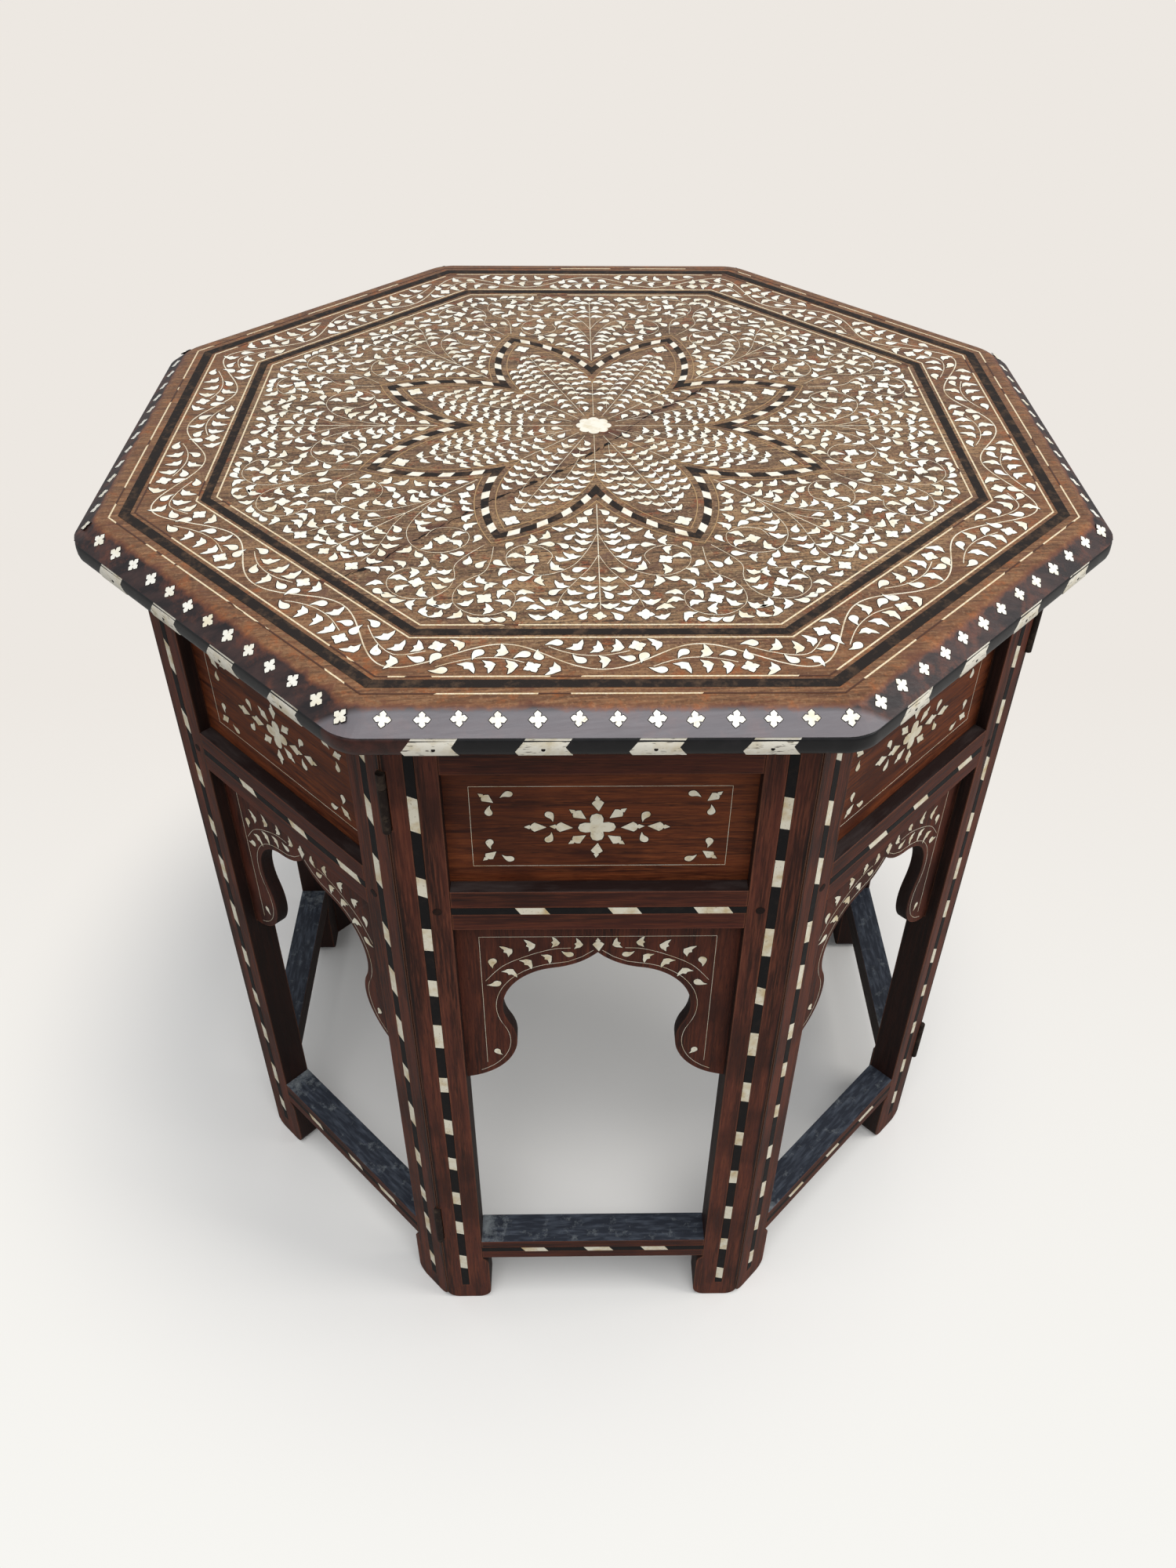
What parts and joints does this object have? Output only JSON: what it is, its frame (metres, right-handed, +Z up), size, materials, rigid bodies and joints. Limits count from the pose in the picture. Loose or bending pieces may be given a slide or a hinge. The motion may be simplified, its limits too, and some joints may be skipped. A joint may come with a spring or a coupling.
{
  "type": "octagonal side table",
  "caption": "Octagonal side table with a loose inlaid top on a folding base of hinged frames with cusped arches.",
  "frame": {"origin": "on the floor under the middle of the table", "axes": "+Z up, -Y towards the front frame, +X to the right of the front frame"},
  "size_m": [0.58, 0.58, 0.5855],
  "materials": {
    "rosewood": "worn satin",
    "rosewood_panel": "worn satin",
    "rosewood_top": "worn satin",
    "ebony": "satin",
    "bone": "satin",
    "hinge_iron": "aged"
  },
  "bodies": {
    "front_frame": {"front_stiles": "rosewood", "front_rails": "rosewood", "front_frieze_panel": "rosewood_panel", "front_arch_panel": "rosewood_panel", "front_ebony_banding": "ebony", "front_bone_banding": "bone", "front_hinges": "hinge_iron"},
    "front_right_frame": {"front_right_stiles": "rosewood", "front_right_rails": "rosewood", "front_right_frieze_panel": "rosewood_panel", "front_right_arch_panel": "rosewood_panel", "front_right_ebony_banding": "ebony", "front_right_bone_banding": "bone", "front_right_hinges": "hinge_iron"},
    "right_frame": {"right_stiles": "rosewood", "right_rails": "rosewood", "right_frieze_panel": "rosewood_panel", "right_arch_panel": "rosewood_panel", "right_ebony_banding": "ebony", "right_bone_banding": "bone", "right_hinges": "hinge_iron"},
    "back_right_frame": {"back_right_stiles": "rosewood", "back_right_rails": "rosewood", "back_right_frieze_panel": "rosewood_panel", "back_right_arch_panel": "rosewood_panel", "back_right_ebony_banding": "ebony", "back_right_bone_banding": "bone", "back_right_hinges": "hinge_iron"},
    "back_frame": {"back_stiles": "rosewood", "back_rails": "rosewood", "back_frieze_panel": "rosewood_panel", "back_arch_panel": "rosewood_panel", "back_ebony_banding": "ebony", "back_bone_banding": "bone", "back_hinges": "hinge_iron"},
    "back_left_frame": {"back_left_stiles": "rosewood", "back_left_rails": "rosewood", "back_left_frieze_panel": "rosewood_panel", "back_left_arch_panel": "rosewood_panel", "back_left_ebony_banding": "ebony", "back_left_bone_banding": "bone", "back_left_hinges": "hinge_iron"},
    "left_frame": {"left_stiles": "rosewood", "left_rails": "rosewood", "left_frieze_panel": "rosewood_panel", "left_arch_panel": "rosewood_panel", "left_ebony_banding": "ebony", "left_bone_banding": "bone", "left_hinges": "hinge_iron"},
    "front_left_frame": {"front_left_stiles": "rosewood", "front_left_rails": "rosewood", "front_left_frieze_panel": "rosewood_panel", "front_left_arch_panel": "rosewood_panel", "front_left_ebony_banding": "ebony", "front_left_bone_banding": "bone", "front_left_hinges": "hinge_iron"},
    "top": {"top_board": "rosewood_top", "top_edge_strips": "ebony", "top_ebony_bands": "ebony", "top_bone_lines": "bone"}
  },
  "joints": [
    {"name": "front_right_fold", "type": "hinge", "parent": "front_frame", "child": "front_right_frame", "pos_m": [0.0997, -0.2407, 0.3], "axis": [0, 0, 1], "range_deg": [0, 128]},
    {"name": "right_fold", "type": "hinge", "parent": "front_right_frame", "child": "right_frame", "pos_m": [0.2623, -0.10865, 0.3], "axis": [0, 0, 1], "range_deg": [-43, 0]},
    {"name": "back_right_fold", "type": "hinge", "parent": "right_frame", "child": "back_right_frame", "pos_m": [0.2407, 0.0997, 0.3], "axis": [0, 0, 1], "range_deg": [0, 128]},
    {"name": "back_fold", "type": "hinge", "parent": "back_right_frame", "child": "back_frame", "pos_m": [0.10865, 0.2623, 0.3], "axis": [0, 0, 1], "range_deg": [-214, 0]},
    {"name": "front_left_fold", "type": "hinge", "parent": "front_frame", "child": "front_left_frame", "pos_m": [-0.10865, -0.2623, 0.3], "axis": [0, 0, 1], "range_deg": [0, 214]},
    {"name": "left_fold", "type": "hinge", "parent": "front_left_frame", "child": "left_frame", "pos_m": [-0.2407, -0.0997, 0.3], "axis": [0, 0, 1], "range_deg": [-128, 0]},
    {"name": "back_left_fold", "type": "hinge", "parent": "left_frame", "child": "back_left_frame", "pos_m": [-0.2623, 0.10865, 0.3], "axis": [0, 0, 1], "range_deg": [0, 43]},
    {"name": "top_lift", "type": "slide", "parent": "front_frame", "child": "top", "axis": [0, 0, 1], "range_m": [0, 0.3]}
  ],
  "couplings": [
    {"joint": "right_fold", "follows": "front_right_fold", "ratio": -0.33333},
    {"joint": "back_right_fold", "follows": "front_right_fold", "ratio": 1},
    {"joint": "back_fold", "follows": "front_right_fold", "ratio": -1.6667},
    {"joint": "front_left_fold", "follows": "front_right_fold", "ratio": 1.6667},
    {"joint": "left_fold", "follows": "front_right_fold", "ratio": -1},
    {"joint": "back_left_fold", "follows": "front_right_fold", "ratio": 0.33333}
  ]
}
